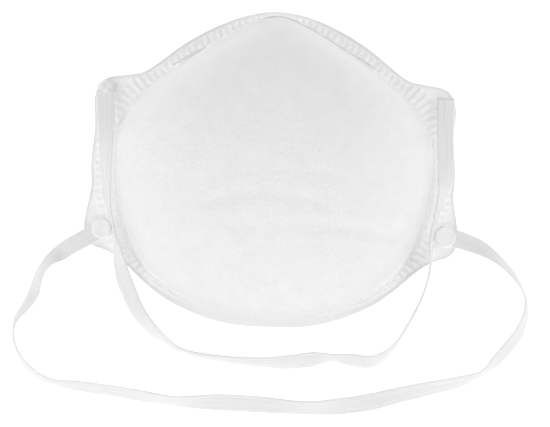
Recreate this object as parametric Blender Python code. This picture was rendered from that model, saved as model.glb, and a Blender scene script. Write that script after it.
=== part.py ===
"""Disposable moulded cup dust mask, lying on its rim with the dome up.

Units are metres and +Z is up. The nose is towards +Y, the chin towards -Y and the origin is under
the middle of the rim. Lengths in the tables below are in millimetres and go through MM.
"""

import math

import bmesh
import bpy
from mathutils import Vector

MM = 0.001
SHARP_ANGLE = 40  # degrees between faces from which an edge is shaded sharp
MIN_STEP = 0.01  # frames of a headband closer together than this are one

# Cup
CUP_HEIGHT = 48.0
SUMMIT_Y = 6.0
WALL_SLANT = 0.30  # share of a straight cone in the cup's profile: 0 gives an upright wall
SMOOTH_HALF_WIDTH = 60.0  # half axes of the ellipse that the sections fade to above the rim
SMOOTH_HALF_LENGTH = 55.0
SMOOTH_FROM = 0.8  # level, from 0 at the crease to 1 at the summit, from which sections are that ellipse
DOME_RINGS = 6

# Rim: the flange is flat on the table at the sides and lifts at the nose and the chin
FLANGE_THICKNESS = 1.0
NOSE_LIFT_FROM_Y = 33.0
NOSE_LIFT = 8.0
CHIN_LIFT_FROM_Y = -33.0
CHIN_LIFT = 3.0
NOSE_STEP_FROM_Y = 46.0
NOSE_STEP = 4.5
CHIN_STEP_FROM_Y = -42.0
CHIN_STEP = 3.0
RIM_END_Y = 60.0

# Right half of the rim's trimmed edge, from the nose to the chin
EDGE = [
    (0.0, 60.0), (8.0, 59.1), (18.0, 56.0), (29.0, 50.8), (38.0, 45.3), (44.8, 40.3), (51.0, 36.4),
    (58.0, 35.0), (64.0, 34.0), (67.4, 31.4), (69.2, 25.5), (68.6, 15.0), (69.4, 1.0), (69.0, -8.5),
    (70.4, -17.5), (71.0, -24.0), (68.6, -30.2), (61.5, -33.2), (55.2, -37.3), (46.0, -45.6),
    (37.3, -51.6), (25.1, -56.8), (12.6, -59.6), (0.0, -60.0),
]
# Right half of the crease where the cup's wall meets the flange
CREASE = [
    (0.0, 57.8), (3.5, 57.2), (8.0, 55.5), (18.0, 51.0), (33.0, 42.4), (45.4, 33.4), (54.4, 24.6),
    (60.4, 12.0), (61.3, 1.0), (60.4, -11.5), (56.8, -24.5), (50.2, -36.0), (40.6, -45.0),
    (27.4, -52.2), (14.0, -55.9), (0.0, -57.0),
]
EDGE_STEPS = 2  # columns for each stretch between two edge points
CREASE_STEPS = 6

# Layers of the cup's wall, outside in: depth of the outer face and depth of the inner face
COVER = (0.0, 0.6)
FILTER = (0.9, 1.7)
SHELL = (2.0, 2.9)
LINING = (3.2, 3.7)
LAYER_RIM_GAP = 0.3

# Nose clip and nose foam, which follow the crease over the nose
CLIP_HALF_SPAN = 38.8
CLIP_WIDTH = 5.0
CLIP_THICKNESS = 0.9
CLIP_GAP = 0.5
CLIP_STEPS = 13
FOAM_HALF_SPAN = 36.0
FOAM_WIDTH = 10.0
FOAM_THICKNESS = 4.0
FOAM_LOW = 2.0

# Headbands: flat elastic
BAND_WIDTH = 6.6
BAND_THICKNESS = 0.9
BAND_STEPS = 2
JOIN_GAP = 0.3
LOOP_GAP = 0.4  # between a loop and its welded ends, so that it clears them as it swings

# Welds: a fused patch under each upper end, and a raised disc over each lower end
PATCH_RADIUS = 3.4
PATCH_THICKNESS = 0.4
DISC_RADIUS = 3.9
DISC_THICKNESS = 0.7
WELD_SEGMENTS = 24
WELD_EDGE = 0.12  # bevel round the top edge
ON_EAR = FLANGE_THICKNESS + 0.3  # height that a lower end lies at
ON_PATCH = ON_EAR + PATCH_THICKNESS + 0.3  # height that an upper end lies at

# Upper headband: x, y, height of what it lies on, roll in degrees (90 stands on edge)
UPPER_ROUTE = [
    (-65.2, 28.6, ON_PATCH, 0), (-64.3, 16.8, ON_PATCH, 8), (-63.9, 6.1, ON_EAR, 34),
    (-63.3, -4.9, ON_EAR, 52), (-61.7, -17.0, ON_EAR, 74), (-59.3, -25.8, ON_EAR, 85),
    (-57.9, -32.5, ON_EAR, 70), (-56.5, -38.8, 1.2, 44), (-53.9, -46.4, 0.3, 28),
    (-47.8, -57.6, 0, 42), (-38.5, -66.4, 0, 72), (-30.2, -70.6, 0, 84), (-16.7, -72.8, 0, 76),
    (-2.7, -73.5, 0, 66), (8.3, -73.1, 0, 46), (17.3, -71.7, 0, 42), (24.7, -70.8, 0, 74),
    (31.8, -71.5, 0, 52), (38.9, -71.9, 0, 54), (44.7, -69.1, 0, 70), (48.6, -64.9, 0, 84),
    (52.3, -58.7, 0, 86), (56.0, -51.6, 0, 86), (58.9, -44.0, 0.2, 88), (60.6, -36.3, 1.2, 84),
    (60.7, -28.9, ON_EAR, 78), (61.0, -22.4, ON_EAR, 82), (63.1, -13.3, ON_EAR, 72),
    (64.7, -6.8, ON_EAR, 54), (65.4, -0.4, ON_EAR, 26), (65.3, 10.7, ON_EAR, 6), (65.1, 20.5, ON_PATCH, 0),
    (65.1, 30.0, ON_PATCH, 0),
]
UPPER_END_LENGTH = 10.0
UPPER_WELDS = ((-65.0, 26.0), (65.0, 26.0))  # left and right

# Lower headband
LOWER_ROUTE = [
    (-61.9, -23.3, ON_EAR, 0), (-64.7, -24.8, ON_EAR, 0), (-69.4, -28.0, ON_EAR, 0),
    (-74.8, -31.2, 0.9, 6), (-79.6, -34.6, 0, 16), (-84.2, -38.6, 0, 48), (-87.2, -44.1, 0, 56),
    (-88.8, -50.6, 0, 46), (-91.6, -55.8, 0, 56), (-94.8, -60.5, 0, 72), (-95.6, -66.0, 0, 86),
    (-94.2, -71.5, 0, 86), (-90.6, -77.4, 0, 76), (-85.0, -81.8, 0, 74), (-78.8, -83.8, 0, 78),
    (-71.3, -84.7, 0, 64), (-58.3, -86.1, 0, 58), (-45.7, -87.8, 0, 58), (-34.7, -89.1, 0, 66),
    (-26.2, -89.3, 0, 48), (-16.2, -89.0, 0, 28), (-2.1, -89.3, 0, 28), (10.9, -90.0, 0, 44),
    (18.9, -89.8, 0, 46), (26.9, -89.1, 0, 28), (38.8, -87.1, 0, 16), (49.7, -84.1, 0, 30),
    (61.6, -81.1, 0, 44), (72.5, -78.3, 0, 56), (81.0, -74.8, 0, 80), (86.8, -69.4, 0, 56),
    (91.8, -63.4, 0, 52), (95.4, -57.5, 0, 62), (97.3, -50.8, 0, 74), (96.5, -44.3, 0, 82),
    (92.1, -37.2, 0, 68), (85.9, -31.2, 0, 52), (79.5, -27.2, 0.6, 24), (72.4, -24.6, ON_EAR, 4),
    (66.3, -22.8, ON_EAR, 0), (63.6, -22.1, ON_EAR, 0),
]
LOWER_END_LENGTH = 15.5
LOWER_WELDS = ((-64.4, -24.8), (66.2, -23.6))

# Hinge lines of the two headbands, midway between their welds: y and z
UPPER_AXIS = (26.0, ON_PATCH + BAND_THICKNESS / 2)
LOWER_AXIS = (-24.2, ON_EAR + BAND_THICKNESS / 2)

COLOURS = {
    "outer_cover": (0.87, 0.88, 0.89),
    "filter_layer": (0.92, 0.93, 0.94),
    "support_shell": (0.84, 0.85, 0.85),
    "inner_lining": (0.90, 0.90, 0.90),
    "nose_foam": (0.42, 0.43, 0.45),
    "band": (0.83, 0.84, 0.85),
    "weld": (0.90, 0.91, 0.92),
}
CLIP_COLOUR = (0.46, 0.47, 0.49)


def material(name, colour, roughness, metallic=0.0):
    mat = bpy.data.materials.new(name)
    mat.use_nodes = True
    shader = mat.node_tree.nodes["Principled BSDF"]
    shader.inputs["Base Color"].default_value = (*colour, 1.0)
    shader.inputs["Roughness"].default_value = roughness
    shader.inputs["Metallic"].default_value = metallic
    mat.diffuse_color = (*colour, 1.0)
    return mat


def solid(name, points, faces, mat, origin=(0.0, 0.0, 0.0)):
    """A closed mesh from points in millimetres, with its object's origin where it is given."""
    mesh = bpy.data.meshes.new(name)
    mesh.from_pydata([(Vector(p) - Vector(origin)) * MM for p in points], [], faces)
    shape = bmesh.new()
    shape.from_mesh(mesh)
    bmesh.ops.recalc_face_normals(shape, faces=shape.faces)
    shape.to_mesh(mesh)
    shape.free()
    mesh.shade_smooth()
    mesh.set_sharp_from_angle(angle=math.radians(SHARP_ANGLE))
    mesh.materials.append(mat)
    obj = bpy.data.objects.new(name, mesh)
    obj.location = Vector(origin) * MM
    bpy.context.scene.collection.objects.link(obj)
    return obj


def smoothstep(value, start, end):
    t = min(max((value - start) / (end - start), 0.0), 1.0)
    return t * t * (3 - 2 * t)


def catmull_rom(t, a, b, c, d):
    square = 2 * a - 5 * b + 4 * c - d
    cube = 3 * b - a - 3 * c + d
    return 0.5 * (2 * b + (c - a) * t + square * t**2 + cube * t**3)


def spline(points, steps):
    """Catmull-Rom through points of any size, with so many steps for each stretch."""
    line = []
    for i in range(len(points) - 1):
        p0 = points[max(i - 1, 0)]
        p1 = points[i]
        p2 = points[i + 1]
        p3 = points[min(i + 2, len(points) - 1)]
        for k in range(steps):
            line.append(tuple(catmull_rom(k / steps, *values) for values in zip(p0, p1, p2, p3)))
    line.append(tuple(points[-1]))
    return line


def heading(x, y):
    """Angle of a point seen from above the summit, 90 degrees at the nose."""
    return math.atan2(y - SUMMIT_Y, x)


def radius_at(line, angle):
    """Distance from the summit's line to an outline, at an angle between the outline's ends."""
    for (x0, y0), (x1, y1) in zip(line, line[1:]):
        a0 = heading(x0, y0)
        a1 = heading(x1, y1)
        if a1 <= angle <= a0:
            dx = math.cos(angle)
            dy = math.sin(angle)
            cross = dx * (y1 - y0) - dy * (x1 - x0)
            return (x0 * (y1 - y0) - (y0 - SUMMIT_Y) * (x1 - x0)) / cross
    raise ValueError("no stretch of the outline lies at this angle")


def columns():
    """Angle, edge radius and crease radius of each column round the mask, nose first, clockwise."""
    edge = spline(EDGE, EDGE_STEPS)
    crease = spline(CREASE, CREASE_STEPS)
    right = []
    for x, y in edge:
        angle = min(max(heading(x, y), -math.pi / 2), math.pi / 2)
        right.append((angle, math.hypot(x, y - SUMMIT_Y), radius_at(crease, angle)))
    left = [(math.pi - angle, outer, inner) for angle, outer, inner in right[-2:0:-1]]
    return right + left


def rim_height(y):
    """Height of the flange's underside at its trimmed edge."""
    nose = NOSE_LIFT * smoothstep(y, NOSE_LIFT_FROM_Y, RIM_END_Y)
    chin = CHIN_LIFT * smoothstep(-y, -CHIN_LIFT_FROM_Y, RIM_END_Y)
    return nose + chin


def crease_height(y):
    """Height of the flange's top at the crease."""
    nose = NOSE_STEP * smoothstep(y, NOSE_STEP_FROM_Y, RIM_END_Y)
    chin = CHIN_STEP * smoothstep(-y, -CHIN_STEP_FROM_Y, RIM_END_Y)
    return rim_height(y) + FLANGE_THICKNESS + nose + chin


def on_ray(angle, radius, z):
    return (radius * math.cos(angle), SUMMIT_Y + radius * math.sin(angle), z)


def cup_point(column, t, depth, drop=0.0):
    """A point of the cup's wall: t runs from the crease to the summit, depth goes inwards."""
    angle, _, crease = column
    low = crease_height(on_ray(angle, crease, 0)[1]) - drop
    smooth = 1 / math.hypot(math.cos(angle) / SMOOTH_HALF_WIDTH, math.sin(angle) / SMOOTH_HALF_LENGTH)
    turn = t * math.pi / 2
    share = (1 - WALL_SLANT) * math.cos(turn) + WALL_SLANT * (1 - t)
    section = crease + (smooth - crease) * smoothstep(t, 0.0, SMOOTH_FROM)
    height = low + (CUP_HEIGHT - depth - low) * math.sin(turn)
    return on_ray(angle, (section - depth) * share, height)


def summit(depth):
    return (0.0, SUMMIT_Y, CUP_HEIGHT - depth)


def dome_rings(cols, depth, drop=0.0):
    """Rings of one face of the cup from the crease upwards, each with its level."""
    return [
        (level, [cup_point(c, level / DOME_RINGS, depth, drop) for c in cols])
        for level in range(DOME_RINGS)
    ]


def ringed_solid(name, top, rings, bottom, mat):
    """A closed shell from rings between two poles, with matching diagonals on every layer."""
    count = len(rings[0][1])
    points = [top] + [p for _, ring in rings for p in ring] + [bottom]
    last = len(points) - 1
    faces = [(0, 1 + j, 1 + (j + 1) % count) for j in range(count)]
    for r in range(len(rings) - 1):
        low = r if rings[r][0] <= rings[r + 1][0] else r + 1
        high = 2 * r + 1 - low
        for j in range(count):
            k = (j + 1) % count
            a, b = 1 + low * count + j, 1 + low * count + k
            c, d = 1 + high * count + k, 1 + high * count + j
            if j < count // 2:
                faces += [(a, b, c), (a, c, d)]
            else:
                faces += [(a, b, d), (b, c, d)]
    base = 1 + (len(rings) - 1) * count
    faces += [(last, base + j, base + (j + 1) % count) for j in range(count)]
    return solid(name, points, faces, mat)


def make_cover(cols):
    """The front nonwoven with the flange and the four ears that all the layers are fused into."""
    outer = dome_rings(cols, COVER[0])
    inner = dome_rings(cols, COVER[1], FLANGE_THICKNESS)
    edge_top = []
    edge_bottom = []
    for angle, edge, _ in cols:
        z = rim_height(on_ray(angle, edge, 0)[1])
        edge_top.append(on_ray(angle, edge, z + FLANGE_THICKNESS))
        edge_bottom.append(on_ray(angle, edge, z))
    rings = outer[::-1] + [(-1, edge_top), (-1, edge_bottom)] + inner
    mat = material("outer_cover", COLOURS["outer_cover"], 0.9)
    ringed_solid("outer_cover", summit(COVER[0]), rings, summit(COVER[1]), mat)


def make_layer(name, cols, depths, roughness):
    drop = FLANGE_THICKNESS - LAYER_RIM_GAP
    outer = dome_rings(cols, depths[0], drop)
    inner = dome_rings(cols, depths[1], drop)
    mat = material(name, COLOURS[name], roughness)
    ringed_solid(name, summit(depths[0]), outer[::-1] + inner, summit(depths[1]), mat)


def strip_solid(name, sections, mat, origin=(0.0, 0.0, 0.0)):
    """A bar through sections of equally many corners, closed at both ends."""
    size = len(sections[0])
    points = [p for section in sections for p in section]
    faces = [tuple(range(size))]
    for i in range(len(sections) - 1):
        for j in range(size):
            k = (j + 1) % size
            faces.append((i * size + j, i * size + k, (i + 1) * size + k, (i + 1) * size + j))
    faces.append(tuple((len(sections) - 1) * size + j for j in range(size)))
    return solid(name, points, faces, mat, origin)


def nose_columns(half_span, steps):
    """Columns of the crease over the nose, evenly spaced in x from left to right."""
    crease = spline(CREASE, CREASE_STEPS)
    found = []
    for i in range(-steps, steps + 1):
        x = half_span * i / steps
        for (x0, y0), (x1, y1) in zip(crease, crease[1:]):
            if x0 <= abs(x) <= x1:
                y = y0 + (y1 - y0) * (abs(x) - x0) / (x1 - x0)
                angle = heading(x, y)
                found.append((angle, 0.0, math.hypot(x, y - SUMMIT_Y)))
                break
    return found


def wall_section(column, low, width, near, thickness, drop=0.0):
    """Four corners of a strip on the wall: low and width go up the wall, near and thickness across."""
    z_low = cup_point(column, 0.0, near, drop)[2]
    corners = []
    for depth in (near, near + thickness):
        for up in (low, low + width):
            rise = CUP_HEIGHT - z_low
            t = math.asin(min(up / rise, 1.0)) / (math.pi / 2)
            corners.append(cup_point(column, t, depth, drop))
    a, b, c, d = corners
    return [a, b, d, c]


def make_nose_clip():
    mat = material("nose_clip", CLIP_COLOUR, 0.45, 0.9)
    near = -(CLIP_GAP + CLIP_THICKNESS)
    sections = [
        wall_section(c, CLIP_GAP, CLIP_WIDTH, near, CLIP_THICKNESS)
        for c in nose_columns(CLIP_HALF_SPAN, CLIP_STEPS)
    ]
    strip_solid("nose_clip", sections, mat)


def make_nose_foam():
    mat = material("nose_foam", COLOURS["nose_foam"], 0.95)
    near = LINING[1] + LAYER_RIM_GAP
    drop = FLANGE_THICKNESS - LAYER_RIM_GAP
    sections = [
        wall_section(c, FOAM_LOW, FOAM_WIDTH, near, FOAM_THICKNESS, drop)
        for c in nose_columns(FOAM_HALF_SPAN, CLIP_STEPS)
    ]
    strip_solid("nose_foam", sections, mat)


def band_frames(route):
    """Centre, width direction and thickness direction at each step along a headband."""
    line = spline(route, BAND_STEPS)
    centres = []
    for x, y, floor, roll in line:
        turn = math.radians(roll)
        rise = abs(math.sin(turn)) * BAND_WIDTH / 2 + abs(math.cos(turn)) * BAND_THICKNESS / 2
        centres.append(Vector((x, y, max(floor, 0.0) + rise)))
    frames = []
    for i, centre in enumerate(centres):
        along = (centres[min(i + 1, len(centres) - 1)] - centres[max(i - 1, 0)]).normalized()
        inward = Vector((0, 0, 1)).cross(along).normalized()
        up = along.cross(inward)
        turn = math.radians(line[i][3])
        across = inward * math.cos(turn) + up * math.sin(turn)
        frames.append((centre, across, along.cross(across)))
    return frames


def cut_frames(frames, start, end):
    """The stretch of a headband between two distances along it, with frames added at its ends."""
    kept = []
    far = 0.0
    for i, frame in enumerate(frames[:-1]):
        nxt = frames[i + 1]
        step = (nxt[0] - frame[0]).length
        for at in sorted({max(start, far), min(end, far + step)}):
            if far <= at <= far + step and start <= at <= end:
                mix = [a.lerp(b, (at - far) / step) for a, b in zip(frame, nxt)]
                if not kept or (kept[-1][0] - mix[0]).length > MIN_STEP:
                    kept.append((mix[0], mix[1].normalized(), mix[2].normalized()))
        far += step
    return kept


def band_solid(name, frames, mat, origin):
    half_width = BAND_WIDTH / 2
    half_thickness = BAND_THICKNESS / 2
    sections = []
    for centre, across, through in frames:
        sections.append([
            centre + across * a * half_width + through * b * half_thickness
            for a, b in ((-1, -1), (1, -1), (1, 1), (-1, 1))
        ])
    return strip_solid(name, sections, mat, origin)


def make_headband(name, route, end_length, axis):
    """The free loop, which swings about its axis line, and the two ends that the welds hold."""
    mat = material(name, COLOURS["band"], 0.75)
    frames = band_frames(route)
    total = sum((b[0] - a[0]).length for a, b in zip(frames, frames[1:]))
    origin = (0.0, *axis)
    band_solid(name, cut_frames(frames, end_length, total - end_length), mat, origin)
    short = end_length - LOOP_GAP
    for side, start, end in (("left", 0.0, short), ("right", total - short, total)):
        kept = cut_frames(frames, start, end)
        band_solid(f"{name}_{side}_end", kept, mat.copy(), tuple(kept[0][0]))


def make_weld(name, x, y, low, radius, thickness):
    """A round fused patch with a bevelled top edge."""
    shape = bmesh.new()
    bmesh.ops.create_cone(
        shape, cap_ends=True, segments=WELD_SEGMENTS, radius1=radius * MM, radius2=radius * MM,
        depth=thickness * MM,
    )
    top = [e for e in shape.edges if all(v.co.z > 0 for v in e.verts)]
    bmesh.ops.bevel(shape, geom=top, offset=WELD_EDGE * MM, segments=1, profile=0.5, affect="EDGES")
    mesh = bpy.data.meshes.new(name)
    shape.to_mesh(mesh)
    shape.free()
    mesh.shade_smooth()
    mesh.set_sharp_from_angle(angle=math.radians(SHARP_ANGLE))
    mesh.materials.append(material(name, COLOURS["weld"], 0.6))
    obj = bpy.data.objects.new(name, mesh)
    obj.location = Vector((x, y, low + thickness / 2)) * MM
    bpy.context.scene.collection.objects.link(obj)


def main():
    for obj in list(bpy.data.objects):
        bpy.data.objects.remove(obj)
    cols = columns()
    make_cover(cols)
    make_layer("filter_layer", cols, FILTER, 0.95)
    make_layer("support_shell", cols, SHELL, 0.9)
    make_layer("inner_lining", cols, LINING, 0.9)
    make_nose_clip()
    make_nose_foam()
    make_headband("upper_headband", UPPER_ROUTE, UPPER_END_LENGTH, UPPER_AXIS)
    make_headband("lower_headband", LOWER_ROUTE, LOWER_END_LENGTH, LOWER_AXIS)
    on_band = ON_EAR + BAND_THICKNESS + JOIN_GAP
    for level, places, low, radius, thickness in (
        ("upper", UPPER_WELDS, ON_EAR, PATCH_RADIUS, PATCH_THICKNESS),
        ("lower", LOWER_WELDS, on_band, DISC_RADIUS, DISC_THICKNESS),
    ):
        for side, (x, y) in zip(("left", "right"), places):
            make_weld(f"{level}_{side}_weld", x, y, low, radius, thickness)


main()
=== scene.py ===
import math

import bpy
import numpy as np
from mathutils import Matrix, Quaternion, Vector, noise


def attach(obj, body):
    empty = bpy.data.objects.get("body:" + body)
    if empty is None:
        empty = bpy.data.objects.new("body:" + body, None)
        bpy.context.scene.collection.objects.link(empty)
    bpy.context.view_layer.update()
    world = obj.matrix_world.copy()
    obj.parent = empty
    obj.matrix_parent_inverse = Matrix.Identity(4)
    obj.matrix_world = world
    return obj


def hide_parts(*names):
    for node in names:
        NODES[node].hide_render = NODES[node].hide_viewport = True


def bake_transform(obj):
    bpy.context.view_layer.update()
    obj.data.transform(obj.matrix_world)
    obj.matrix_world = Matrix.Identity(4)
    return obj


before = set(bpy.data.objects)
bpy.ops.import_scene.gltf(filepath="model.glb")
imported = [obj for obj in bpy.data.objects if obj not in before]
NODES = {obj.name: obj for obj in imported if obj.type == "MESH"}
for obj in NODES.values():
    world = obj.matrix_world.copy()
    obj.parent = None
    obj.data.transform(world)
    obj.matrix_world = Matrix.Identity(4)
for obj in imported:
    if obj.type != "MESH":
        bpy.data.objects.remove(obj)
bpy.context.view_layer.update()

MM = 0.001

# Cup and rim, as in the CAD source
CUP_HEIGHT = 48.0
SUMMIT_Y = 6.0
WALL_SLANT = 0.30
SMOOTH_HALF_WIDTH = 60.0
SMOOTH_HALF_LENGTH = 55.0
SMOOTH_FROM = 0.8
FLANGE = 1.0
LIFT_FROM_Y = 33.0
NOSE_LIFT = 8.0
CHIN_LIFT = 3.0
NOSE_STEP = (46.0, 4.5)
CHIN_STEP = (42.0, 3.0)
RIM_END_Y = 60.0
EDGE = [
    (0.0, 60.0), (8.0, 59.1), (18.0, 56.0), (29.0, 50.8), (38.0, 45.3), (44.8, 40.3), (51.0, 36.4),
    (58.0, 35.0), (64.0, 34.0), (67.4, 31.4), (69.2, 25.5), (68.6, 15.0), (69.4, 1.0), (69.0, -8.5),
    (70.4, -17.5), (71.0, -24.0), (68.6, -30.2), (61.5, -33.2), (55.2, -37.3), (46.0, -45.6),
    (37.3, -51.6), (25.1, -56.8), (12.6, -59.6), (0.0, -60.0),
]
CREASE = [
    (0.0, 57.8), (3.5, 57.2), (8.0, 55.5), (18.0, 51.0), (33.0, 42.4), (45.4, 33.4), (54.4, 24.6),
    (60.4, 12.0), (61.3, 1.0), (60.4, -11.5), (56.8, -24.5), (50.2, -36.0), (40.6, -45.0),
    (27.4, -52.2), (14.0, -55.9), (0.0, -57.0),
]
COVER_DEPTH = 0.6
LINING = (3.2, 3.7)

# Headbands: x, y, height of what they lie on, roll in degrees
BAND_WIDTH = 6.6
BAND_THICKNESS = 0.9
ON_EAR = 1.3
ON_PATCH = 2.0
UPPER_ROUTE = [
    (-65.2, 28.6, ON_PATCH, 0), (-64.3, 16.8, ON_PATCH, 8), (-63.9, 6.1, ON_EAR, 34),
    (-63.3, -4.9, ON_EAR, 52), (-61.7, -17.0, ON_EAR, 74), (-59.3, -25.8, ON_EAR, 85),
    (-57.9, -32.5, ON_EAR, 70), (-56.5, -38.8, 1.2, 44), (-53.9, -46.4, 0.3, 28),
    (-47.8, -57.6, 0, 42), (-38.5, -66.4, 0, 72), (-30.2, -70.6, 0, 84), (-16.7, -72.8, 0, 76),
    (-2.7, -73.5, 0, 66), (8.3, -73.1, 0, 46), (17.3, -71.7, 0, 42), (24.7, -70.8, 0, 74),
    (31.8, -71.5, 0, 52), (38.9, -71.9, 0, 54), (44.7, -69.1, 0, 70), (48.6, -64.9, 0, 84),
    (52.3, -58.7, 0, 86), (56.0, -51.6, 0, 86), (58.9, -44.0, 0.2, 88), (60.6, -36.3, 1.2, 84),
    (60.7, -28.9, ON_EAR, 78), (61.0, -22.4, ON_EAR, 82), (63.1, -13.3, ON_EAR, 72),
    (64.7, -6.8, ON_EAR, 54), (65.4, -0.4, ON_EAR, 26), (65.3, 10.7, ON_EAR, 6), (65.1, 20.5, ON_PATCH, 0),
    (65.1, 30.0, ON_PATCH, 0),
]
LOWER_ROUTE = [
    (-61.9, -23.3, ON_EAR, 0), (-64.7, -24.8, ON_EAR, 0), (-69.4, -28.0, ON_EAR, 0),
    (-74.8, -31.2, 0.9, 6), (-79.6, -34.6, 0, 16), (-84.2, -38.6, 0, 48), (-87.2, -44.1, 0, 56),
    (-88.8, -50.6, 0, 46), (-91.6, -55.8, 0, 56), (-94.8, -60.5, 0, 72), (-95.6, -66.0, 0, 86),
    (-94.2, -71.5, 0, 86), (-90.6, -77.4, 0, 76), (-85.0, -81.8, 0, 74), (-78.8, -83.8, 0, 78),
    (-71.3, -84.7, 0, 64), (-58.3, -86.1, 0, 58), (-45.7, -87.8, 0, 58), (-34.7, -89.1, 0, 66),
    (-26.2, -89.3, 0, 48), (-16.2, -89.0, 0, 28), (-2.1, -89.3, 0, 28), (10.9, -90.0, 0, 44),
    (18.9, -89.8, 0, 46), (26.9, -89.1, 0, 28), (38.8, -87.1, 0, 16), (49.7, -84.1, 0, 30),
    (61.6, -81.1, 0, 44), (72.5, -78.3, 0, 56), (81.0, -74.8, 0, 80), (86.8, -69.4, 0, 56),
    (91.8, -63.4, 0, 52), (95.4, -57.5, 0, 62), (97.3, -50.8, 0, 74), (96.5, -44.3, 0, 82),
    (92.1, -37.2, 0, 68), (85.9, -31.2, 0, 52), (79.5, -27.2, 0.6, 24), (72.4, -24.6, ON_EAR, 4),
    (66.3, -22.8, ON_EAR, 0), (63.6, -22.1, ON_EAR, 0),
]


# ---------------------------------------------------------------- shape helpers

def smoothstep(value, start, end):
    t = np.clip((np.asarray(value, float) - start) / (end - start), 0.0, 1.0)
    return t * t * (3 - 2 * t)


def spline(points, steps):
    """Catmull-Rom through points of any size."""
    p = np.array([points[0], *points, points[-1]], float)
    t = (np.arange(steps) / steps)[:, None]
    parts = []
    for a, b, c, d in zip(p, p[1:], p[2:], p[3:]):
        cubic = (3 * b - a - 3 * c + d) * t**3
        square = (2 * a - 5 * b + 4 * c - d) * t**2
        parts.append(0.5 * (2 * b + (c - a) * t + square + cubic))
    return np.vstack([*parts, p[-1:]])


def closed(half):
    """A whole outline, clockwise from the nose, from its right half."""
    left = half[-2:0:-1] * (-1, 1)
    return np.vstack([half, left])


def evenly(line, count, loop=True):
    """So many points at even distances along a line."""
    whole = np.vstack([line, line[:1]]) if loop else line
    far = np.concatenate([[0], np.cumsum(np.linalg.norm(np.diff(whole, axis=0), axis=1))])
    at = np.linspace(0, far[-1], count, endpoint=not loop)
    return np.stack([np.interp(at, far, whole[:, k]) for k in range(whole.shape[1])], axis=1)


def radius_at(line, angles):
    """Distance from the summit's line to a closed outline at each angle."""
    heading = np.arctan2(line[:, 1] - SUMMIT_Y, line[:, 0])
    order = np.argsort(heading)
    radius = np.hypot(line[:, 0], line[:, 1] - SUMMIT_Y)
    turn = 2 * math.pi
    return np.interp(angles, heading[order], radius[order], period=turn)


def on_ray(angle, radius, z):
    x, y = radius * np.cos(angle), SUMMIT_Y + radius * np.sin(angle)
    return np.stack(np.broadcast_arrays(x, y, z), axis=-1)


def rim_height(y):
    nose = NOSE_LIFT * smoothstep(y, LIFT_FROM_Y, RIM_END_Y)
    chin = CHIN_LIFT * smoothstep(-y, LIFT_FROM_Y, RIM_END_Y)
    return nose + chin


def crease_height(y):
    nose = NOSE_STEP[1] * smoothstep(y, NOSE_STEP[0], RIM_END_Y)
    chin = CHIN_STEP[1] * smoothstep(-y, CHIN_STEP[0], RIM_END_Y)
    return rim_height(y) + FLANGE + nose + chin


def wall(angle, crease, t, depth, drop=0.0):
    """Points of the cup's wall: t runs from the crease to the summit, depth goes inwards."""
    low = crease_height(SUMMIT_Y + crease * np.sin(angle)) - drop
    smooth = 1 / np.hypot(np.cos(angle) / SMOOTH_HALF_WIDTH, np.sin(angle) / SMOOTH_HALF_LENGTH)
    turn = t * math.pi / 2
    share = (1 - WALL_SLANT) * np.cos(turn) + WALL_SLANT * (1 - t)
    section = crease + (smooth - crease) * smoothstep(t, 0.0, SMOOTH_FROM)
    height = low + (CUP_HEIGHT - depth - low) * np.sin(turn)
    return on_ray(angle, (section - depth) * share, height)


def nearest(points, line):
    """Distance to a line of points, and the index of the nearest one, for each point."""
    flat = points.reshape(-1, 2)
    far = np.empty(len(flat))
    index = np.empty(len(flat), int)
    for i in range(0, len(flat), 4000):
        gap = ((flat[i : i + 4000, None] - line[None]) ** 2).sum(-1)
        index[i : i + 4000] = gap.argmin(1)
        far[i : i + 4000] = np.sqrt(gap.min(1))
    return far.reshape(points.shape[:-1]), index.reshape(points.shape[:-1])


def grain(points, scale, seed=0.0):
    """Smooth noise from -1 to 1 at each point; scale is in waves for each millimetre."""
    flat = np.asarray(points, float).reshape(-1, 3) * scale + seed
    values = [noise.noise(Vector(p)) for p in flat]
    return np.array(values).reshape(np.shape(points)[:-1])


def mesh_object(name, points, faces, body, mat):
    """A piece from points in millimetres, riding on a body."""
    mesh = bpy.data.meshes.new(name)
    mesh.from_pydata((np.asarray(points, float).reshape(-1, 3) * MM).tolist(), [], faces)
    mesh.validate()
    mesh.shade_smooth()
    mesh.materials.append(mat)
    obj = bpy.data.objects.new(name, mesh)
    bpy.context.scene.collection.objects.link(obj)
    if body:
        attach(obj, body)
    return obj


def set_attribute(obj, name, values):
    layer = obj.data.attributes.new(name, "FLOAT", "POINT")
    layer.data.foreach_set("value", np.asarray(values, np.float32).ravel())


def tube_faces(rows, size, caps=True):
    """Faces of a closed tube of rows of corners; rows run along it."""
    i = np.arange(rows - 1)[:, None] * size
    j = np.arange(size)[None]
    k = (j + 1) % size
    quads = np.stack([i + j, i + k, i + size + k, i + size + j], axis=-1).reshape(-1, 4)
    faces = [tuple(q) for q in quads.tolist()]
    if caps:
        faces.append(tuple(range(size - 1, -1, -1)))
        faces.append(tuple(range((rows - 1) * size, rows * size)))
    return faces


def turned(faces):
    """The same faces, seen from their other side."""
    return [face[::-1] for face in faces]


# ---------------------------------------------------------------- materials

CLEFT_REACH = 7.0  # how far the occlusion test reaches when painting glow into clefts
CLEFT_FROM = 0.75  # a place with less open air than this share counts as a cleft and gets painted glow


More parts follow.
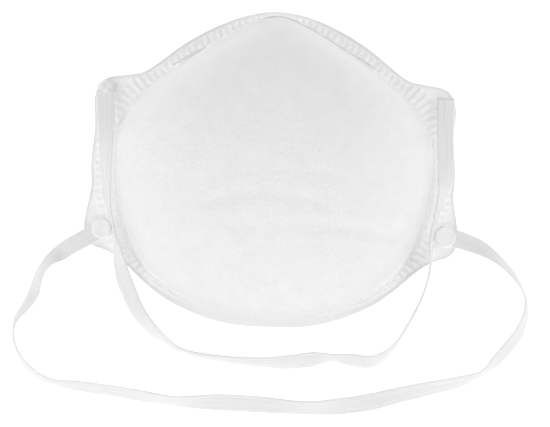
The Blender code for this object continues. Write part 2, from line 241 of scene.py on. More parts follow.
class Paint:
    """A node material, built one texture at a time. Scales are in waves for each millimetre."""

    def __init__(self, name, colour, roughness, **settings):
        self.mat = bpy.data.materials.new(name)
        self.mat.use_nodes = True
        self.tree = self.mat.node_tree
        self.shader = self.tree.nodes["Principled BSDF"]
        self.set("Base Color", (*colour, 1))
        self.set("Roughness", roughness)
        for key, value in settings.items():
            self.set(key.replace("_", " "), value)
        self.bumps = None
        self.place = None

    def set(self, socket, value):
        self.shader.inputs[socket].default_value = value

    def node(self, kind, **values):
        made = self.tree.nodes.new("ShaderNode" + kind)
        for key, value in values.items():
            setattr(made, key, value)
        return made

    def link(self, a, b):
        self.tree.links.new(a, b)

    def where(self, turn=0.0, stretch=(1.0, 1.0, 1.0)):
        """Object coordinates in millimetres, turned about Z and stretched."""
        if self.place is None:
            self.place = self.node("TexCoord").outputs["Object"]
        spin = self.node("Mapping")
        self.link(self.place, spin.inputs["Vector"])
        spin.inputs["Rotation"].default_value = (0, 0, turn)
        spin.inputs["Scale"].default_value = (1 / MM, 1 / MM, 1 / MM)
        pull = self.node("Mapping")
        self.link(spin.outputs[0], pull.inputs["Vector"])
        pull.inputs["Scale"].default_value = stretch
        return pull.outputs[0]

    def noise(self, scale, detail=3.0, vector=None):
        made = self.node("TexNoise")
        self.link(vector or self.where(), made.inputs["Vector"])
        made.inputs["Scale"].default_value = scale
        made.inputs["Detail"].default_value = detail
        made.inputs["Roughness"].default_value = 0.5
        return made.outputs["Fac"]

    def pores(self, scale):
        made = self.node("TexVoronoi", feature="DISTANCE_TO_EDGE")
        self.link(self.where(), made.inputs["Vector"])
        made.inputs["Scale"].default_value = scale
        return made.outputs["Distance"]

    def wave(self, scale, vector, distortion):
        made = self.node("TexWave", bands_direction="X")
        self.link(vector, made.inputs["Vector"])
        made.inputs["Scale"].default_value = scale
        made.inputs["Distortion"].default_value = distortion
        made.inputs["Detail"].default_value = 2.0
        made.inputs["Detail Scale"].default_value = 1.0
        return made.outputs["Fac"]

    def value(self, name):
        return self.node("Attribute", attribute_name=name).outputs["Fac"]

    def sum(self, a, b, kind="ADD"):
        made = self.node("Math", operation=kind)
        for i, part in enumerate((a, b)):
            if isinstance(part, (int, float)):
                made.inputs[i].default_value = part
            else:
                self.link(part, made.inputs[i])
        return made.outputs[0]

    def span(self, value, low, high, to_low=0.0, to_high=1.0):
        made = self.node("MapRange")
        self.link(value, made.inputs["Value"])
        for key, v in (("From Min", low), ("From Max", high), ("To Min", to_low), ("To Max", to_high)):
            made.inputs[key].default_value = v
        return made.outputs["Result"]

    def blend(self, factor, a, b):
        """A colour between a and b, each a colour or a socket."""
        made = self.node("Mix", data_type="RGBA")
        self.link(factor, made.inputs[0])
        for i, part in ((6, a), (7, b)):
            if isinstance(part, tuple):
                made.inputs[i].default_value = (*part, 1)
            else:
                self.link(part, made.inputs[i])
        return made.outputs[2]

    def colour(self, socket):
        self.link(socket, self.shader.inputs["Base Color"])

    def rough(self, socket):
        self.link(socket, self.shader.inputs["Roughness"])

    def scatter(self, strength):
        """Painted glow: emission that lightens narrow clefts, standing in for light that white fibres would
        pass on there over many bounces.
        """
        shade = self.node("AmbientOcclusion", samples=6)
        shade.inputs["Distance"].default_value = CLEFT_REACH * MM
        painted_glow = self.span(shade.outputs["AO"], CLEFT_FROM, 0.0, 0.0, strength)
        self.link(painted_glow, self.shader.inputs["Emission Strength"])
        self.shader.inputs["Emission Color"].default_value = (1, 1, 1, 1)

    def bump(self, height, depth, strength=1.0):
        """Relief of so many millimetres, added to what is there."""
        made = self.node("Bump")
        made.inputs["Strength"].default_value = strength
        made.inputs["Distance"].default_value = depth * MM
        self.link(height, made.inputs["Height"])
        if self.bumps is not None:
            self.link(self.bumps, made.inputs["Normal"])
        self.bumps = made.outputs[0]
        self.link(self.bumps, self.shader.inputs["Normal"])


def grey(value):
    return (value, value, value)


WHITE = grey(0.82)
RIM_SCATTER = 1.6  # how far light spreads inside the fused rim


def cover_paint():
    p = Paint("cover_nonwoven", WHITE, 0.85, Sheen_Weight=0.04, Sheen_Roughness=0.5, Specular_IOR_Level=0.15)
    p.set("Subsurface Radius", (1.0, 1.0, 1.0))
    p.set("Subsurface Scale", RIM_SCATTER * MM)
    p.link(p.sum(p.value("rim"), 0.55, "MULTIPLY"), p.shader.inputs["Subsurface Weight"])
    mottle = p.noise(0.16, 4)
    fibres = p.noise(1.5, 4, p.where(0.7, (1.0, 3.2, 1.0)))
    fibres_back = p.noise(1.5, 4, p.where(-0.8, (1.0, 3.2, 1.0)))
    hatch = p.wave(0.34, p.where(0.78), 1.2)
    hatch_back = p.wave(0.34, p.where(-0.78), 1.2)
    weave = p.sum(hatch, hatch_back)
    press = p.value("press")
    shade = p.sum(p.span(mottle, 0.3, 0.7, 0.0, 0.3), p.span(weave, 0.0, 2.0, 0.0, 0.35))
    shade = p.sum(shade, p.span(fibres, 0.3, 0.7, 0.0, 0.15))
    cloth = p.blend(shade, grey(0.78), grey(0.86))
    # Painted light: the rim is painted lighter than the dome, standing in for light passing through the thin
    # rim into the shade beside the wall.
    rim_cloth_painted_light = p.blend(shade, grey(0.86), grey(0.91))
    whole = p.blend(p.value("rim"), cloth, rim_cloth_painted_light)
    # Painted light: pressed places are painted lighter on the rim as well.
    pressed = p.blend(p.value("rim"), grey(0.765), grey(0.82))
    p.colour(p.blend(press, whole, pressed))
    p.rough(p.span(press, 0.0, 1.0, 0.88, 0.55))
    soft = p.span(press, 0.0, 1.0, 1.0, 0.25)
    p.bump(p.sum(p.sum(fibres, fibres_back), soft, "MULTIPLY"), 0.16)
    p.bump(p.sum(weave, soft, "MULTIPLY"), 0.035)
    p.bump(mottle, 0.5, 0.2)
    # painted glow in the cover's clefts, as emission
    p.scatter(0.25)
    return p.mat


def band_paint(name):
    p = Paint(name, grey(0.80), 0.8, Sheen_Weight=0.05, Sheen_Roughness=0.4, Specular_IOR_Level=0.2)
    along = p.value("along")
    across = p.value("across")
    knit = p.node("CombineXYZ")
    p.link(along, knit.inputs[0])
    p.link(across, knit.inputs[1])
    streaks = p.node("CombineXYZ")
    p.link(p.sum(along, 0.05, "MULTIPLY"), streaks.inputs[0])
    p.link(across, streaks.inputs[1])
    streak = p.noise(0.9, 2, streaks.outputs[0])
    stitch = p.wave(0.7, knit.outputs[0], 1.5)
    fuzz = p.noise(2.4, 3, knit.outputs[0])
    groove = p.sum(p.value("groove"), 0.45, "MULTIPLY")
    tone = p.sum(p.span(streak, 0.32, 0.68, 0.0, 0.6), p.span(fuzz, 0.3, 0.7, 0.0, 0.25))
    tone = p.sum(tone, p.span(stitch, 0.0, 1.0, 0.0, 0.15))
    thread = p.blend(tone, grey(0.74), grey(0.85))
    # Painted shade: the grooves between ribs are painted darker.
    p.colour(p.blend(groove, thread, grey(0.72)))
    p.bump(stitch, 0.05)
    p.bump(fuzz, 0.08)
    # painted glow in the elastic's clefts, as emission
    p.scatter(0.22)
    return p.mat


def weld_paint(tone):
    p = Paint("fused_weld", grey(0.9), 0.5, Coat_Weight=0.1, Coat_Roughness=0.4)
    blotch = p.noise(0.5, 3)
    fibres = p.noise(2.0, 4)
    p.colour(p.blend(p.span(blotch, 0.3, 0.7), grey(tone), grey(tone + 0.05)))
    p.rough(p.span(fibres, 0.3, 0.7, 0.5, 0.7))
    p.bump(fibres, 0.06)
    return p.mat


def clip_paint():
    p = Paint("clip_aluminium", (0.60, 0.61, 0.62), 0.5, Metallic=0.25)
    rolled = p.noise(1.0, 3, p.where(0.0, (0.25, 6.0, 6.0)))
    smudge = p.noise(0.25, 3)
    p.colour(p.blend(p.span(smudge, 0.3, 0.7), (0.68, 0.69, 0.70), (0.82, 0.83, 0.84)))
    p.rough(p.span(rolled, 0.3, 0.7, 0.34, 0.55))
    p.bump(rolled, 0.03)
    return p.mat


def foam_paint():
    p = Paint("open_cell_foam", (0.30, 0.31, 0.33), 0.95)
    pores = p.pores(2.2)
    speckle = p.noise(1.2, 3)
    # Painted shade: the pore hollows are painted darker than the cell walls.
    p.colour(p.blend(p.span(pores, 0.0, 0.25), (0.38, 0.39, 0.41), (0.20, 0.21, 0.225)))
    p.bump(pores, -0.25)
    p.bump(speckle, 0.15)
    return p.mat


def layer_paint(name, low, high, scale, relief, roughness):
    """A fibre layer: crossed fibres over a soft mottle."""
    p = Paint(name, high, roughness, Sheen_Weight=0.1)
    mottle = p.noise(0.2, 3)
    fibres = p.noise(scale, 4, p.where(0.5, (1.0, 3.0, 1.0)))
    crossed = p.noise(scale, 4, p.where(-0.9, (1.0, 3.0, 1.0)))
    p.colour(p.blend(p.span(p.sum(mottle, fibres), 0.6, 1.4), low, high))
    p.bump(p.sum(fibres, crossed), relief)
    return p.mat


# ---------------------------------------------------------------- camera

CAMERA_TARGET = (1.3, -16.7, 2.0)
CAMERA_ELEVATION = 82.0
CAMERA_DISTANCE = 900.0
CAMERA_ROLL = 2.0  # the mask lies turned by so much
PICTURE_WIDTH = 209.0  # what the picture spans across, at the target
SENSOR_WIDTH = 36.0


def make_camera():
    data = bpy.data.cameras.new("camera")
    data.sensor_width = SENSOR_WIDTH
    data.lens = SENSOR_WIDTH * CAMERA_DISTANCE / PICTURE_WIDTH
    data.clip_start = 0.05
    data.clip_end = 20.0
    camera = bpy.data.objects.new("camera", data)
    tilt = math.radians(CAMERA_ELEVATION)
    back = Vector((0, -math.cos(tilt), math.sin(tilt)))
    camera.location = (Vector(CAMERA_TARGET) + back * CAMERA_DISTANCE) * MM
    aim = Quaternion((1, 0, 0), math.pi / 2 - tilt)
    camera.rotation_mode = "QUATERNION"
    camera.rotation_quaternion = aim @ Quaternion((0, 0, 1), math.radians(CAMERA_ROLL))
    bpy.context.scene.collection.objects.link(camera)
    bpy.context.scene.camera = camera


# ---------------------------------------------------------------- headbands

STEPS_ALONG = 14
BAND_STEP = 0.55
RIBS = 6
RIB_POINTS = 5
RIB_RELIEF = 0.05


def band_frames(route):
    """Even steps along a headband: centres, width directions, thickness directions and distances."""
    reach = sum(math.dist(a[:2], b[:2]) for a, b in zip(route, route[1:]))
    line = evenly(spline(route, STEPS_ALONG), int(reach / BAND_STEP), loop=False)
    turn = np.radians(line[:, 3])
    rise = np.abs(np.sin(turn)) * BAND_WIDTH / 2 + np.abs(np.cos(turn)) * BAND_THICKNESS / 2
    centres = np.stack([line[:, 0], line[:, 1], np.maximum(line[:, 2], 0) + rise], axis=1)
    along = np.gradient(centres, axis=0)
    along /= np.linalg.norm(along, axis=1)[:, None]
    inward = np.cross((0, 0, 1), along)
    inward /= np.linalg.norm(inward, axis=1)[:, None]
    up = np.cross(along, inward)
    across = inward * np.cos(turn)[:, None] + up * np.sin(turn)[:, None]
    through = np.cross(along, across)
    far = np.concatenate([[0], np.cumsum(np.linalg.norm(np.diff(centres, axis=0), axis=1))])
    return centres, across, through, far


def band_section():
    """Corners of a ribbed section: place across, place through and how deep in a groove, which the elastic's
    paint darkens as painted shade.
    """
    thick = BAND_THICKNESS / 2 - 0.04
    half = BAND_WIDTH / 2 - thick
    count = RIBS * RIB_POINTS
    u = (np.arange(count) + 0.5) / count * 2 - 1
    wave = 0.5 - 0.5 * np.cos(math.pi * (u + 1) * RIBS)  # 1 on a rib
    face = np.stack([u * half, thick - RIB_RELIEF * (1 - wave**0.7), 1 - wave], axis=1)
    back = face[::-1] * (1, -1, 1)
    a = np.radians([72, 36, 0, -36, -72])
    side = np.stack([half + thick * np.cos(a), thick * np.sin(a), a * 0], axis=1)
    return np.vstack([face, side, back, side[::-1] * (-1, 1, 1)])


def make_band(name, route, nodes, mat, body, start, end):
    centres, across, through, far = band_frames(route)
    section = band_section()
    wander = grain(np.stack([far * 0.12, far * 0, far * 0 + len(route)], axis=1), 1.0)
    width = 1 + 0.02 * wander
    place = section[None, :, 0, None] * across[:, None] * width[:, None, None]
    points = centres[:, None] + place + section[None, :, 1, None] * through[:, None]
    size = len(section)
    faces = turned(tube_faces(len(centres), size))
    obj = mesh_object(name, points, faces, None, mat)
    set_attribute(obj, "along", np.repeat(far, size))
    set_attribute(obj, "across", np.tile(section[:, 0], len(far)))
    set_attribute(obj, "groove", np.tile(section[:, 2], len(far)))
    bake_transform(obj)
    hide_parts(*nodes)


def make_bands():
    for name, route, crossing in (
        ("upper_headband", UPPER_ROUTE, ("upper_band", (0.0, 20.5, 0.0), (0.0, 14.5, 0.0))),
        ("lower_headband", LOWER_ROUTE, ("lower_band", (0.0, -26.6, 0.0), (0.2, -32.6, 0.0))),
    ):
        nodes = (name, name + "_left_end", name + "_right_end")
        make_band(name + "_strap", route, nodes, band_paint(name + "_elastic"), *crossing)


# ---------------------------------------------------------------- cover

COLUMNS = 720
DOME_ROWS = 64
FLANGE_ROWS = 26
LOWER_ROWS = 8
INNER_ROWS = 12
RIB_PITCH = 2.6
EDGE_THICKNESS = 0.5
FILLET = 2.0
RIB_HEIGHT = 0.22
PRESS_DEPTH = 0.30
BULGE = 1.3  # of the wall, where it hides a stretch of the clip
# Shallow dents across the dome: middle y, bow, from x, to x, depth, width
DENTS = (
    (-7.0, 0.003, -14, 26, 0.40, 2.4), (-15.4, 0.006, -27, 22, 0.80, 2.2), (-25.4, 0.004, 0, 50, 0.65, 2.2),
)
CRINKLED_CORNERS = ((-67.5, 29.5), (66.0, 30.5))


def rim_columns():
    edge = closed(spline(EDGE, 16))
    crease = closed(spline(CREASE, 24))
    even = evenly(edge, COLUMNS)
    angle = np.arctan2(even[:, 1] - SUMMIT_Y, even[:, 0])
    return angle, radius_at(edge, angle), radius_at(crease, angle), edge, crease


def rib_field(plan, edge, crease, inside):
    """How raised and how pressed each point of the rim is, from 0 to 1."""
    edge_line = evenly(edge, 1600)
    crease_line = evenly(crease, 1600)
    length = np.linalg.norm(np.diff(np.vstack([crease_line, crease_line[:1]]), axis=0), axis=1).sum()
    count = round(length / RIB_PITCH)
    d, index = nearest(plan, crease_line)
    d = np.where(inside, -d, d)
    e, _ = nearest(plan, edge_line)
    s = index / len(crease_line)
    chin = smoothstep(-plan[..., 1], 40.0, 52.0)
    bar = smoothstep(np.cos(2 * math.pi * count * s), -0.45, 0.55)
    start = 0.5 - 1.6 * chin
    window = smoothstep(d, start - 0.3, start + 0.5)
    window *= smoothstep(e, 0.9 + 1.1 * chin, 1.6 + 1.1 * chin)
    window *= 1 - smoothstep(d, 6.2, 7.4)
    zone = smoothstep(d, start - 1.2, start) * smoothstep(e, 0.4, 0.9)
    band = 1 - smoothstep(e, 0.7, 1.5 + 1.0 * chin)
    bar = bar + (0.62 - bar) * 0.75 * chin
    raised = bar * window
    pressed = np.clip(zone * (1 - raised) * (1 - 0.45 * chin) + band, 0, 1)
    return raised, pressed, d, e


def normals_of(grid):
    """Outward unit normals of a grid of rows by closed columns."""
    down = np.gradient(grid, axis=0)
    round_ = np.roll(grid, -1, axis=1) - np.roll(grid, 1, axis=1)
    n = np.cross(round_, down)
    n /= np.maximum(np.linalg.norm(n, axis=-1), 1e-9)[..., None]
    return n


def fillet(top, foot, angle, flange_width):
    """Rounds the crease between wall and flange: each point near it moves onto a parabola."""
    nose = smoothstep(foot[:, 1], 20.0, 34.0)
    chin = smoothstep(-foot[:, 1], 30.0, 48.0)
    radius = FILLET * (1 - 0.75 * nose) * (1 - 0.6 * chin)
    radius = np.minimum(radius, 0.7 * flange_width)
    step = np.linalg.norm(np.diff(top, axis=0), axis=2)
    along = np.vstack([np.zeros(len(angle)), np.cumsum(step, axis=0)]) - step[: DOME_ROWS].sum(axis=0)
    reach = np.clip(along / radius, -1, 1)
    wall_way = top[DOME_ROWS - 14] - foot
    wall_way /= np.linalg.norm(wall_way, axis=1)[:, None]
    flange_way = top[-1] - foot
    flange_way /= np.linalg.norm(flange_way, axis=1)[:, None]
    up = ((1 - reach) / 2)[..., None] ** 2 * (wall_way * radius[:, None])[None]
    out = ((1 + reach) / 2)[..., None] ** 2 * (flange_way * radius[:, None])[None]
    rounded = foot[None] + up + out
    near = (np.abs(along) < radius)[..., None]
    return np.where(near, rounded, top)


def make_cover():
    angle, edge_r, crease_r, edge, crease = rim_columns()
    t = (np.arange(1, DOME_ROWS + 1) / (DOME_ROWS + 1))[::-1] ** 1.5
    dome = np.stack([wall(angle, crease_r, v, 0.0) for v in t])
    f = np.linspace(0, 1, FLANGE_ROWS)
    foot = wall(angle, crease_r, 0.0, 0.0)
    rim = on_ray(angle, edge_r, rim_height(SUMMIT_Y + edge_r * np.sin(angle)) + FLANGE)
    flange = foot[None] + (rim - foot)[None] * f[:, None, None]
    top = fillet(np.vstack([dome, flange]), foot, angle, edge_r - crease_r)
    normal = normals_of(top)
    normal = np.where(normal[..., 2:] < 0, -normal, normal)
    inside = np.zeros(top.shape[:2], bool)
    inside[:DOME_ROWS] = True
    near = slice(DOME_ROWS - 26, None)
    raised = np.zeros(top.shape[:2])
    pressed = np.zeros(top.shape[:2])
    d = np.full(top.shape[:2], -30.0)
    e = np.full(top.shape[:2], 30.0)
    raised[near], pressed[near], d[near], e[near] = rib_field(top[near, :, :2], edge, crease, inside[near])
    height = RIB_HEIGHT * raised - PRESS_DEPTH * pressed
    x, y = top[..., 0], top[..., 1]
    for y0, bow, x0, x1, depth, width in DENTS:
        line = y0 - bow * (x - (x0 + x1) / 2) ** 2
        span = smoothstep(x, x0 - 4, x0 + 9) * (1 - smoothstep(x, x1 - 9, x1 + 4))
        height -= depth * span * np.exp(-(((y - line) / width) ** 2))
    over_clip = smoothstep(x, -30.0, -24.0) * (1 - smoothstep(x, -8.0, -3.0)) * (y > 20)
    height += BULGE * over_clip * np.exp(-(((d + 3.0) / 1.3) ** 2))
    height += 0.22 * grain(top, 0.06) * smoothstep(-d, 1, 8)
    height += 0.07 * grain(top, 0.35, 9.0) * smoothstep(e, 0.5, 2.0)
    for cx, cy in CRINKLED_CORNERS:
        far = np.hypot(x - cx, y - cy)
        height += 0.35 * grain(top, 0.55, 3.0) * (1 - smoothstep(far, 3.0, 6.5)) * (d > 0)
    top = top + normal * height[..., None]
    base = rim_height(top[-1, :, 1])
    middle = on_ray(angle, edge_r + 0.12, base + EDGE_THICKNESS / 2)
    foot_low = wall(angle, crease_r, 0.0, COVER_DEPTH, FLANGE)
    low_rim = on_ray(angle, edge_r - 0.1, base)
    share = np.linspace(0, 1, LOWER_ROWS)[:, None, None]
    lower = low_rim[None] + (foot_low - low_rim)[None] * share
    t_in = (np.arange(1, INNER_ROWS + 1) / (INNER_ROWS + 1)) ** 1.2
    inner = np.stack([wall(angle, crease_r, v, COVER_DEPTH, FLANGE) for v in t_in])
    rows = np.vstack([top, middle[None], lower, inner])
    count = len(rows)
    summit = (0, SUMMIT_Y, CUP_HEIGHT + height[0].mean())
    below = (0, SUMMIT_Y, CUP_HEIGHT - COVER_DEPTH)
    points = [*rows.reshape(-1, 3), summit, below]
    faces = tube_faces(count, COLUMNS, caps=False)
    crown, under = count * COLUMNS, count * COLUMNS + 1
    last = (count - 1) * COLUMNS
    for j in range(COLUMNS):
        k = (j + 1) % COLUMNS
        faces.append((crown, k, j))
        faces.append((under, last + j, last + k))
    obj = mesh_object("cover", points, faces, "mask", cover_paint())
    press = np.zeros(len(points))
    press[: pressed.size] = pressed.ravel()
    press[pressed.size : pressed.size + (1 + LOWER_ROWS) * COLUMNS] = 0.7
    set_attribute(obj, "press", press)
    # The rim share sets the subsurface weight and the painted light that lightens the rim's colour; it fades
    # towards the chin.
    rim_translucency_and_painted_light = np.zeros(len(points))
    rim_translucency_and_painted_light[: d.size] = (smoothstep(d, -2.0, 0.8) * smoothstep(e, 0.2, 1.6)).ravel()
    all_y = np.array(points)[:, 1]
    rim_translucency_and_painted_light *= 1 - 0.9 * smoothstep(-all_y, 40.0, 54.0)
    set_attribute(obj, "rim", rim_translucency_and_painted_light)
    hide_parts("outer_cover")


# ---------------------------------------------------------------- inner layers

LINING_COLUMNS = 360
LINING_LIP = 0.22


def make_lining():
    edge = closed(spline(EDGE, 16))
    crease = closed(spline(CREASE, 24))
    even = evenly(edge, LINING_COLUMNS)
    angle = np.arctan2(even[:, 1] - SUMMIT_Y, even[:, 0])
    crease_r = radius_at(crease, angle)
    drop = FLANGE - 0.02
    t_face = np.linspace(0, 1, 46)[1:-1] ** 1.1
    face = np.stack([wall(angle, crease_r, v, LINING[1], drop) for v in t_face[::-1]])
    soft = 0.16 * grain(face, 0.09, 21.0) + 0.06 * grain(face, 0.4, 4.0)
    face[..., 2] -= soft
    foot = wall(angle, crease_r, 0.0, LINING[1], drop)
    lip_low = wall(angle, crease_r, 0.0, COVER_DEPTH + 0.08, drop)
    lip_top = lip_low + (0, 0, LINING_LIP)
    inner_top = wall(angle, crease_r, 0.0, LINING[0], drop) + (0, 0, LINING_LIP)
    t_back = np.linspace(0, 1, 20)[1:-1]
    back = np.stack([wall(angle, crease_r, v, LINING[0], drop) for v in t_back])
    back[..., 2] = np.maximum(back[..., 2], inner_top[None, :, 2])
    lip = np.stack([foot, (foot + lip_low) / 2, lip_low, lip_top, inner_top])
    rows = np.vstack([face, lip, back])
    summits = [(0, SUMMIT_Y, CUP_HEIGHT - depth) for depth in LINING[::-1]]
    points = [*rows.reshape(-1, 3), *summits]
    faces = turned(tube_faces(len(rows), LINING_COLUMNS, caps=False))
    last = (len(rows) - 1) * LINING_COLUMNS
    total = len(rows) * LINING_COLUMNS
    for j in range(LINING_COLUMNS):
        k = (j + 1) % LINING_COLUMNS
        faces.append((total, j, k))
        faces.append((total + 1, last + k, last + j))
    mat = layer_paint("lining_nonwoven", grey(0.66), grey(0.76), 1.4, 0.14, 0.9)
    obj = mesh_object("lining", points, faces, "mask", mat)
    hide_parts("inner_lining")


def dress_layers():
    """The two layers inside the wall keep their CAD shape."""
    for node, *look in (
        ("filter_layer", "melt_blown", grey(0.74), grey(0.82), 3.0, 0.05, 0.8),
        ("support_shell", "thermobonded", (0.62, 0.62, 0.61), (0.72, 0.72, 0.71), 1.1, 0.22, 0.9),
    ):
        NODES[node].data.materials[0] = layer_paint(*look)


# ---------------------------------------------------------------- nose clip and foam

CLIP_HALF_SPAN = 38.8
CLIP_WIDTH = 5.0
CLIP_LOW = 0.3
CLIP_NEAR = 0.1
CLIP_THICKNESS = 0.5
FOAM_HALF_SPAN = 36.0
FOAM = (4.0, 8.0, 2.0, 12.0)  # near and far depth, low and high


def nose_strip(x_values, section, drop=0.0):
    """Rows of corners on the wall over the nose. section gives, for each x, depths and heights."""
    crease = evenly(closed(spline(CREASE, 24)), 4000)
    crease = crease[crease[:, 1] > 25]
    crease = crease[np.argsort(crease[:, 0])]
    rows = []
    for i, x in enumerate(x_values):
        y = np.interp(x, crease[:, 0], crease[:, 1])
        angle = math.atan2(y - SUMMIT_Y, x)
        radius = math.hypot(x, y - SUMMIT_Y)
        low = crease_height(y) - drop
        depths, heights = section(i)
        turn = np.arcsin(np.clip(heights / (CUP_HEIGHT - low), 0, 1)) / (math.pi / 2)
        rows.append(np.stack([wall(angle, radius, t, d, drop) for t, d in zip(turn, depths)]))
    return np.stack(rows)


def round_section(count, power):
    """Unit corners of a rounded rectangle."""
    a = np.arange(count) / count * 2 * math.pi
    c, s = np.cos(a), np.sin(a)
    return np.sign(c) * np.abs(c) ** power, np.sign(s) * np.abs(s) ** power


def end_taper(x, half, length):
    """1 along the middle, falling as a quarter circle towards both ends."""
    gone = np.clip((np.abs(x) - (half - length)) / length, 0, 1)
    return np.sqrt(np.maximum(1 - gone**2, 0.0))


def make_clip():
    steps = 200
    x = CLIP_HALF_SPAN * np.sin(np.linspace(-math.pi / 2, math.pi / 2, steps)) * 0.5
    x += CLIP_HALF_SPAN * np.linspace(-1, 1, steps) * 0.5
    size = 20
    a, b = round_section(size, 0.28)
    taper = np.maximum(end_taper(x, CLIP_HALF_SPAN, 2.4), 0.06)
    ripple = 0.05 * np.sin(x * 0.9) + 0.04 * np.sin(x * 0.37 + 1)
    parted = 0.9 * smoothstep(np.abs(x), 25.0, 37.0)  # the ends stand off the wall
    middle = -(CLIP_NEAR + CLIP_THICKNESS / 2 + parted)

    def section(i):
        depths = middle[i] + ripple[i] + a * CLIP_THICKNESS / 2
        heights = CLIP_LOW + CLIP_WIDTH / 2 * (1 + b * taper[i])
        return depths, heights

    rows = nose_strip(x, section)
    faces = turned(tube_faces(steps, size))
    obj = mesh_object("clip", rows, faces, "mask", clip_paint())
    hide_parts("nose_clip")


def make_foam():
    steps = 130
    x = FOAM_HALF_SPAN * np.sin(np.linspace(-math.pi / 2, math.pi / 2, steps))
    size = 40
    a, b = round_section(size, 0.55)
    taper = np.maximum(end_taper(x, FOAM_HALF_SPAN, 3.0), 0.12)
    near, far, low, high = FOAM
    drop = FLANGE - 0.3

    def section(i):
        depths = (near + far) / 2 + a * (far - near) / 2 * (0.35 + 0.65 * taper[i])
        heights = (low + high) / 2 + b * (high - low) / 2 * taper[i]
        return depths, heights

    rows = nose_strip(x, section, drop)
    soft = grain(rows, 0.5, 6.0)
    middle = rows.mean(axis=1, keepdims=True)
    rows = middle + (rows - middle) * (0.97 + 0.03 * soft)[..., None]
    faces = turned(tube_faces(steps, size))
    obj = mesh_object("foam", rows, faces, "mask", foam_paint())
    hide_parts("nose_foam")


# ---------------------------------------------------------------- welds

PAD_COLUMNS = 72
PAD_ROWS = 34


def round_pad(name, node, centre, profile, wobble, crinkle, axes=(1.0, 1.0, 0.0), tone=0.84):
    """A pad on an ear. profile is radius and height from its middle to its foot, crinkle is depth and
    fineness, axes is its stretch both ways and its turn."""
    profile = np.array(profile, float)
    line = evenly(spline(profile, 5), PAD_ROWS, loop=False)
    a = np.arange(PAD_COLUMNS) / PAD_COLUMNS * 2 * math.pi
    ring = np.stack([np.cos(a), np.sin(a), a * 0], axis=1)
    swell = 1 + wobble * grain(ring, 1.3, centre[0])
    stretch_x, stretch_y, turn = axes
    x = line[:, :1] * (np.cos(a) * swell * stretch_x)[None]
    y = line[:, :1] * (np.sin(a) * swell * stretch_y)[None]
    c, s = math.cos(turn), math.sin(turn)
    rows = np.stack([
        centre[0] + x * c - y * s, centre[1] + x * s + y * c, np.repeat(line[:, 1:2], PAD_COLUMNS, axis=1),
    ], axis=-1)
    inward = smoothstep(line[:, 1], profile[-1, 1], profile[-1, 1] + 0.6)[:, None]
    rows[..., 2] += crinkle[0] * grain(rows * (1, 1, 0.2), crinkle[1], 2.0) * inward
    faces = turned(tube_faces(len(rows), PAD_COLUMNS, caps=False))
    count = len(rows) * PAD_COLUMNS
    points = [*rows.reshape(-1, 3), rows[0].mean(axis=0), rows[-1].mean(axis=0)]
    last = (len(rows) - 1) * PAD_COLUMNS
    for j in range(PAD_COLUMNS):
        k = (j + 1) % PAD_COLUMNS
        faces.append((count, j, k))
        faces.append((count + 1, last + k, last + j))
    obj = mesh_object(name, points, faces, "mask", weld_paint(tone))
    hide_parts(node)


DISC = [
    (0.25, 2.66), (1.6, 2.66), (2.7, 2.70), (3.2, 2.72), (3.55, 2.58), (3.8, 2.1), (3.92, 1.5), (3.98, 1.05),
]
PATCH = [(0.25, 1.85), (1.8, 1.84), (2.8, 1.78), (3.3, 1.55), (3.42, 1.05)]
LUMP = [(0.2, 3.14), (1.2, 3.12), (2.1, 3.06), (2.7, 2.88), (3.1, 2.4), (3.4, 1.7), (3.6, 1.04)]


def make_welds():
    disc = (DISC, 0.05, (0.10, 0.45))
    round_pad("lower_left_disc", "lower_left_weld", (-64.4, -24.8), *disc)
    round_pad("lower_right_disc", "lower_right_weld", (66.2, -23.6), *disc, (1.06, 1.06, 0))
    lump = (LUMP, 0.10, (0.45, 0.75), (1.12, 0.89, 0.35), 0.74)
    round_pad("upper_left_stamp", "upper_left_weld", (-64.9, 29.7), *lump)
    round_pad("upper_right_stamp", "upper_right_weld", (65.0, 26.0), PATCH, 0.05, (0.10, 0.8))


# ---------------------------------------------------------------- stage and light

FLOOR_REACH = 3.0  # metres, as are all lengths of the lights
FLOOR_GAP = 0.0002


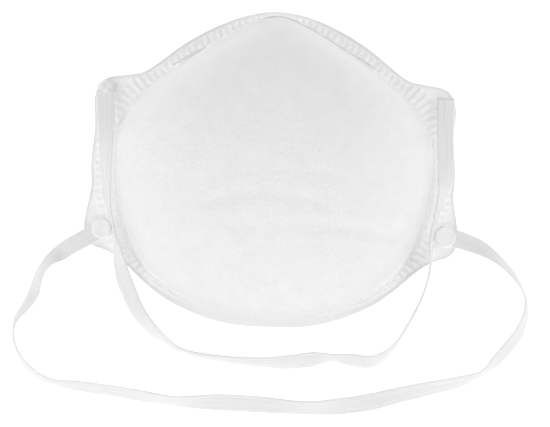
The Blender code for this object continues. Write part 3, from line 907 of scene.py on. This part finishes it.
def make_stage():
    mat = bpy.data.materials.new("studio_floor")
    mat.use_nodes = True
    shader = mat.node_tree.nodes["Principled BSDF"]
    shader.inputs["Base Color"].default_value = (0.95, 0.95, 0.95, 1)
    shader.inputs["Roughness"].default_value = 0.9
    shader.inputs["Emission Color"].default_value = (1, 1, 1, 1)
    shader.inputs["Emission Strength"].default_value = 0.3
    mesh = bpy.data.meshes.new("floor")
    corners = [(x * FLOOR_REACH, y * FLOOR_REACH, 0) for x, y in ((-1, -1), (1, -1), (1, 1), (-1, 1))]
    mesh.from_pydata(corners, [], [(0, 1, 2, 3)])
    mesh.materials.append(mat)
    floor = bpy.data.objects.new("floor", mesh)
    floor.location.z = -FLOOR_GAP
    bpy.context.scene.collection.objects.link(floor)


def make_light(name, place, size, power):
    """An area light that faces the origin."""
    data = bpy.data.lights.new(name, "AREA")
    data.shape = "RECTANGLE"
    data.size, data.size_y = size
    data.energy = power
    lamp = bpy.data.objects.new(name, data)
    lamp.location = place
    aim = -Vector(place)
    lamp.rotation_mode = "QUATERNION"
    lamp.rotation_quaternion = aim.to_track_quat("-Z", "Y")
    bpy.context.scene.collection.objects.link(lamp)


def make_lights():
    world = bpy.data.worlds.new("studio")
    bpy.context.scene.world = world
    world.use_nodes = True
    world.node_tree.nodes["Background"].inputs["Color"].default_value = (1, 1, 1, 1)
    world.node_tree.nodes["Background"].inputs["Strength"].default_value = 0.41
    make_light("top", (0.0, -0.42, 1.15), (1.3, 0.9), 1.9)
    make_light("front", (0.0, -1.2, 0.7), (1.5, 0.6), 7.0)
    make_light("left", (-1.25, 0.0, 0.65), (1.5, 0.6), 7.5)
    make_light("right", (1.25, 0.0, 0.65), (1.5, 0.6), 7.5)
    make_light("back", (0.0, 1.2, 0.7), (1.5, 0.6), 4.4)
    scene = bpy.context.scene
    scene.view_settings.view_transform = "Standard"
    scene.view_settings.look = "None"


make_camera()
make_bands()
make_cover()
make_lining()
dress_layers()
make_clip()
make_foam()
make_welds()
make_stage()
make_lights()
